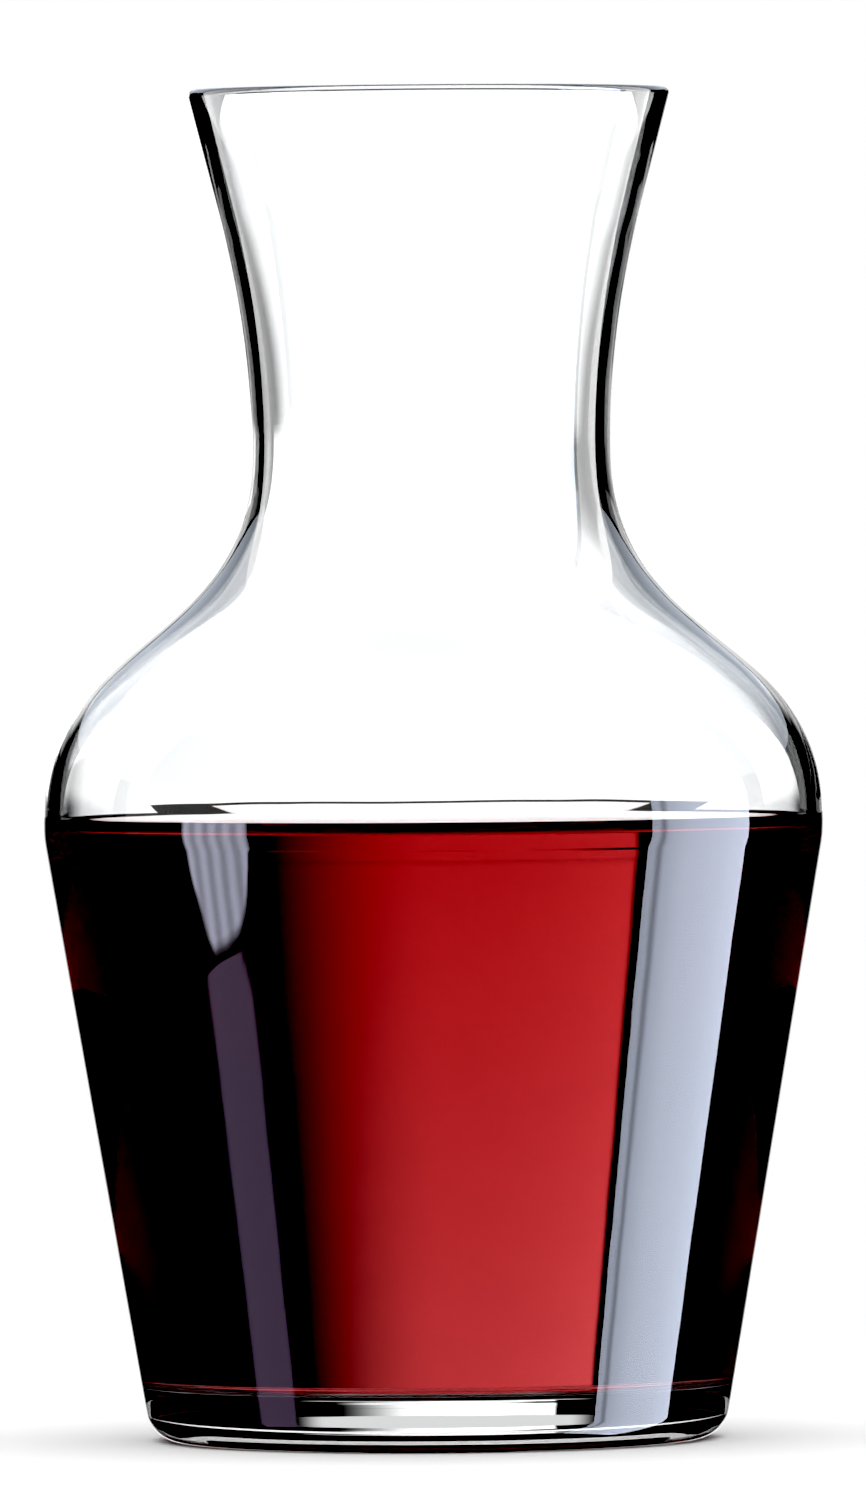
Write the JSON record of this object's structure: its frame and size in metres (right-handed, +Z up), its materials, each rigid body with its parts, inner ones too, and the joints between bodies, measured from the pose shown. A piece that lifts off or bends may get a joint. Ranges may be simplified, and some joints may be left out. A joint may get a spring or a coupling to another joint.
{
  "type": "wine decanter",
  "caption": "Open glass carafe with a flared neck, a round shoulder, a tapered body and a thick base, filled with red wine up to its widest point.",
  "frame": {"origin": "centre of the base, on the plane that the standing ring rests on", "axes": "+Z up along the axis of revolution, towards the mouth; X and Y are free, because every section square to Z is round"},
  "size_m": [0.1246, 0.1246, 0.215],
  "materials": {
    "clear_glass": "polished",
    "red_wine": "polished"
  },
  "bodies": {
    "root": {"glass_body": "clear_glass", "wine": "red_wine"}
  },
  "joints": []
}
